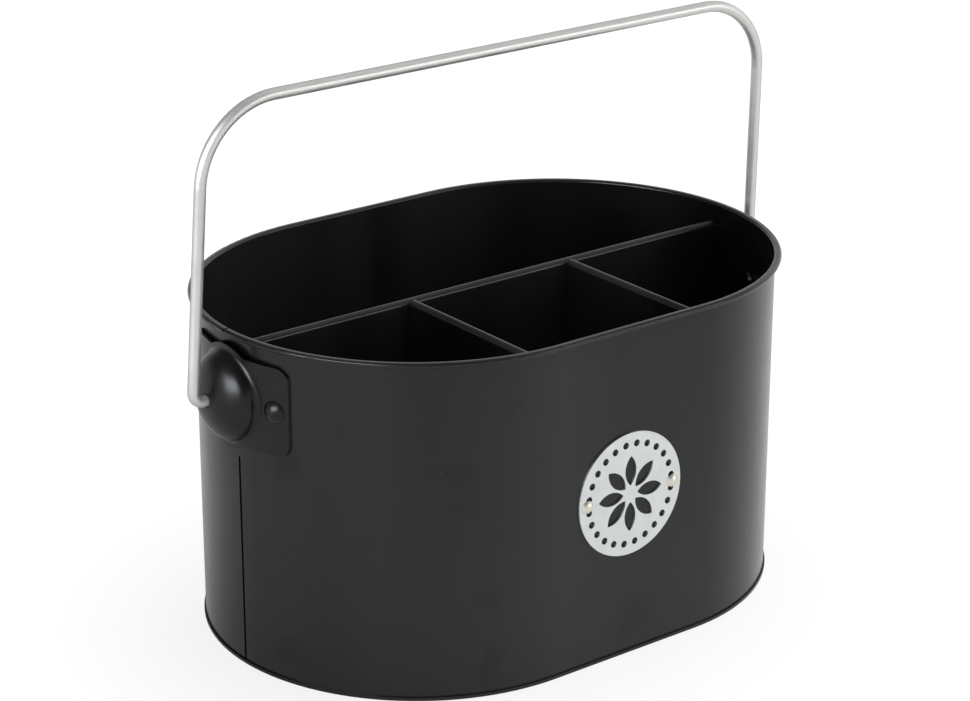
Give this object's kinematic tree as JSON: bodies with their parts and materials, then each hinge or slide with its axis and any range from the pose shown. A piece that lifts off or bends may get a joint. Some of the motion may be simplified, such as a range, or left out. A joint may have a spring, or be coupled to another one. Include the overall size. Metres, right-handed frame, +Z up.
{
  "type": "cutlery holder",
  "caption": "Oblong black sheet-steel cutlery holder with a swinging wire bail, a long rear compartment, smaller front compartments and a pierced rosette badge.",
  "frame": {"origin": "on the table under the middle of the tub", "axes": "+X along the tub to the right as seen from the badge side, +Z up, so -Y is the badge side"},
  "size_m": [0.2802, 0.1768, 0.2261],
  "materials": {
    "black_coat": "satin black powder coat",
    "plated_wire": "bright zinc plate",
    "badge_metal": "satin"
  },
  "bodies": {
    "tub": {"body_wall": "black_coat", "base_pan": "black_coat", "long_divider": "black_coat", "cross_divider_left": "black_coat", "cross_divider_right": "black_coat", "left_ear": "black_coat", "right_ear": "black_coat", "left_ear_rivets": "black_coat", "right_ear_rivets": "black_coat", "badge_plate": "badge_metal", "badge_rivets": "badge_metal"},
    "bail": {"bail_handle": "plated_wire"}
  },
  "joints": [
    {"name": "bail_swing", "type": "hinge", "parent": "tub", "child": "bail", "pos_m": [0, 0, 0.1103], "axis": [1, 0, 0], "range_deg": [-132.1, 125.3]}
  ]
}
